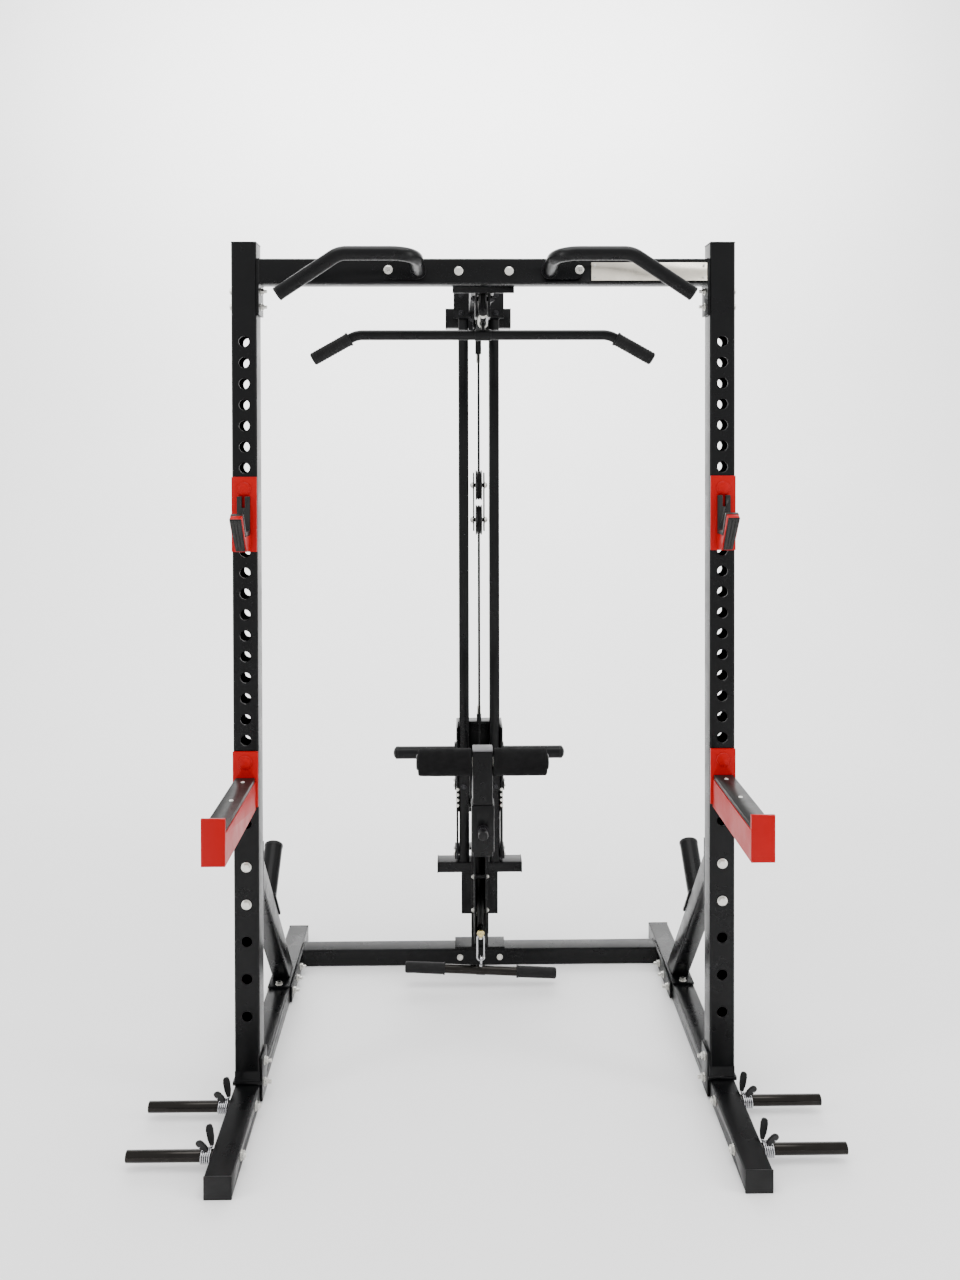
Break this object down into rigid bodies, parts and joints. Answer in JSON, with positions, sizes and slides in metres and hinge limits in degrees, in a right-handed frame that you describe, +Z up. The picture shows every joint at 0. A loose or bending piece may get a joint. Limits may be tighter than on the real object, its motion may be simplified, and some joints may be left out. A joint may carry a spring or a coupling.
{
  "type": "half rack with lat pulldown tower",
  "caption": "Free-standing half rack of square tube with red J-cups and spotter arms, pull-up handles, and a plate-loaded lat pulldown and low row tower behind it.",
  "frame": {"origin": "centre of the bounding box on the floor", "axes": "+Z up, +X to the right seen from the front, +Y from the open front towards the tower at the back"},
  "size_m": [1.58, 1.168, 2.062],
  "materials": {
    "black_powder_coat": "satin black powder coat with a fine texture",
    "red_powder_coat": "bright red gloss powder coat",
    "black_plastic": "moulded black plastic",
    "liner_plastic": "black polyethylene liner",
    "chrome": "bright chrome plate",
    "brushed_plate": "brushed stainless plate",
    "zinc_steel": "zinc plated steel",
    "black_foam": "matt black foam",
    "cable_coat": "black nylon coated steel cable",
    "pulley_nylon": "black nylon pulley"
  },
  "bodies": {
    "frame": {"band_peg_front_left": "chrome", "band_peg_rear_left": "chrome", "upright_left": "black_powder_coat", "upright_cap_left": "black_plastic", "base_rail_left": "black_powder_coat", "rail_cap_front_left": "black_plastic", "rail_cap_rear_left": "black_plastic", "base_bracket_left": "black_powder_coat", "brace_left": "black_powder_coat", "storage_peg_left": "black_powder_coat", "pull_up_handle_left": "black_powder_coat", "guide_tube_left": "black_powder_coat", "band_peg_front_right": "chrome", "band_peg_rear_right": "chrome", "upright_right": "black_powder_coat", "upright_cap_right": "black_plastic", "base_rail_right": "black_powder_coat", "rail_cap_front_right": "black_plastic", "rail_cap_rear_right": "black_plastic", "base_bracket_right": "black_powder_coat", "brace_right": "black_powder_coat", "storage_peg_right": "black_powder_coat", "pull_up_handle_right": "black_powder_coat", "guide_tube_right": "black_powder_coat", "top_beam": "black_powder_coat", "nameplate": "brushed_plate", "rear_crossmember": "black_powder_coat", "top_arm": "black_powder_coat", "tower_base": "black_powder_coat", "low_pulley_bracket": "black_powder_coat", "knee_arm": "black_powder_coat", "lat_cable": "cable_coat", "row_cable": "cable_coat"},
    "j_cup_left": {"j_cup_left": "red_powder_coat", "j_cup_liner_left": "liner_plastic"},
    "spotter_arm_left": {"spotter_arm_left": "red_powder_coat", "spotter_liner_left": "liner_plastic"},
    "spring_collar_front_left": {"spring_collar_front_left": "chrome"},
    "spring_collar_rear_left": {"spring_collar_rear_left": "chrome"},
    "foam_roller_left": {"foam_roller_left": "black_foam"},
    "j_cup_right": {"j_cup_right": "red_powder_coat", "j_cup_liner_right": "liner_plastic"},
    "spotter_arm_right": {"spotter_arm_right": "red_powder_coat", "spotter_liner_right": "liner_plastic"},
    "spring_collar_front_right": {"spring_collar_front_right": "chrome"},
    "spring_collar_rear_right": {"spring_collar_rear_right": "chrome"},
    "foam_roller_right": {"foam_roller_right": "black_foam"},
    "carriage": {"weight_carriage": "black_powder_coat"},
    "floating_block": {"floating_block": "black_powder_coat"},
    "pulley_top_front": {"pulley_top_front": "pulley_nylon"},
    "pulley_top_rear": {"pulley_top_rear": "pulley_nylon"},
    "pulley_block_upper": {"pulley_block_upper": "pulley_nylon"},
    "pulley_block_lower": {"pulley_block_lower": "pulley_nylon"},
    "pulley_low": {"pulley_low": "pulley_nylon"},
    "lat_hook": {"lat_hook": "zinc_steel"},
    "lat_bar": {"lat_bar": "black_powder_coat"},
    "row_hook": {"row_hook": "zinc_steel"},
    "row_bar": {"row_bar": "chrome"},
    "knee_post": {"knee_post": "black_powder_coat"},
    "pull_pin": {"pull_pin": "black_plastic"}
  },
  "joints": [
    {"name": "j_cup_pull_left", "type": "slide", "parent": "frame", "child": "j_cup_left", "axis": [0, -1, 0], "range_m": [0, 0.075]},
    {"name": "spotter_pull_left", "type": "slide", "parent": "frame", "child": "spotter_arm_left", "axis": [0, -1, 0], "range_m": [0, 0.075]},
    {"name": "collar_slide_front_left", "type": "slide", "parent": "frame", "child": "spring_collar_front_left", "axis": [-1, 0, 0], "range_m": [0, 0.12]},
    {"name": "collar_slide_rear_left", "type": "slide", "parent": "frame", "child": "spring_collar_rear_left", "axis": [-1, 0, 0], "range_m": [0, 0.12]},
    {"name": "j_cup_pull_right", "type": "slide", "parent": "frame", "child": "j_cup_right", "axis": [0, -1, 0], "range_m": [0, 0.075]},
    {"name": "spotter_pull_right", "type": "slide", "parent": "frame", "child": "spotter_arm_right", "axis": [0, -1, 0], "range_m": [0, 0.075]},
    {"name": "collar_slide_front_right", "type": "slide", "parent": "frame", "child": "spring_collar_front_right", "axis": [1, 0, 0], "range_m": [0, 0.12]},
    {"name": "collar_slide_rear_right", "type": "slide", "parent": "frame", "child": "spring_collar_rear_right", "axis": [1, 0, 0], "range_m": [0, 0.12]},
    {"name": "carriage_lift", "type": "slide", "parent": "frame", "child": "carriage", "axis": [0, 0, 1], "range_m": [0, 0.7], "deforming": ["lat_cable", "row_cable"]},
    {"name": "block_lift", "type": "slide", "parent": "frame", "child": "floating_block", "axis": [0, 0, 1], "range_m": [0, 0.35]},
    {"name": "lat_pull", "type": "slide", "parent": "frame", "child": "lat_hook", "axis": [0, 0, -1], "range_m": [0, 0.7]},
    {"name": "lat_bar_swivel", "type": "hinge", "parent": "lat_hook", "child": "lat_bar", "pos_m": [0, -0.132, 1.87], "axis": [0, 0, 1], "range_deg": [-30, 30]},
    {"name": "top_front_spin", "type": "hinge", "parent": "frame", "child": "pulley_top_front", "pos_m": [0, -0.09, 1.945], "axis": [1, 0, 0], "continuous": true},
    {"name": "top_rear_spin", "type": "hinge", "parent": "frame", "child": "pulley_top_rear", "pos_m": [0, 0.364, 1.945], "axis": [1, 0, 0], "continuous": true},
    {"name": "block_upper_spin", "type": "hinge", "parent": "floating_block", "child": "pulley_block_upper", "pos_m": [0, 0.448, 1.45], "axis": [1, 0, 0], "continuous": true},
    {"name": "block_lower_spin", "type": "hinge", "parent": "floating_block", "child": "pulley_block_lower", "pos_m": [0, 0.448, 1.345], "axis": [1, 0, 0], "continuous": true},
    {"name": "row_pull", "type": "slide", "parent": "frame", "child": "row_hook", "axis": [0, -1, 0], "range_m": [0, 0.4]},
    {"name": "low_spin", "type": "hinge", "parent": "frame", "child": "pulley_low", "pos_m": [0, 0.364, 0.192], "axis": [1, 0, 0], "continuous": true},
    {"name": "row_bar_swivel", "type": "hinge", "parent": "row_hook", "child": "row_bar", "pos_m": [0, 0.298, 0.075], "axis": [0, 0, 1], "range_deg": [-20, 20]},
    {"name": "knee_height", "type": "slide", "parent": "frame", "child": "knee_post", "axis": [0, 0, 1], "range_m": [0, 0.1]},
    {"name": "pin_pull", "type": "slide", "parent": "frame", "child": "pull_pin", "axis": [0, -1, 0], "range_m": [0, 0.01], "stiffness_N_per_m": 800},
    {"name": "roller_spin_left", "type": "hinge", "parent": "knee_post", "child": "foam_roller_left", "pos_m": [-0.098, 0.013, 0.742], "axis": [1, 0, 0], "continuous": true},
    {"name": "roller_spin_right", "type": "hinge", "parent": "knee_post", "child": "foam_roller_right", "pos_m": [0.098, 0.013, 0.742], "axis": [1, 0, 0], "continuous": true}
  ],
  "couplings": [
    {"joint": "block_lift", "follows": "carriage_lift", "ratio": 0.5},
    {"joint": "lat_pull", "follows": "carriage_lift", "ratio": 1},
    {"joint": "top_front_spin", "follows": "carriage_lift", "rad_per_m": 23.809},
    {"joint": "top_rear_spin", "follows": "carriage_lift", "rad_per_m": 23.809},
    {"joint": "block_upper_spin", "follows": "carriage_lift", "rad_per_m": -11.905},
    {"joint": "block_lower_spin", "follows": "carriage_lift", "rad_per_m": 11.905},
    {"joint": "low_spin", "follows": "row_pull", "rad_per_m": -23.809}
  ]
}
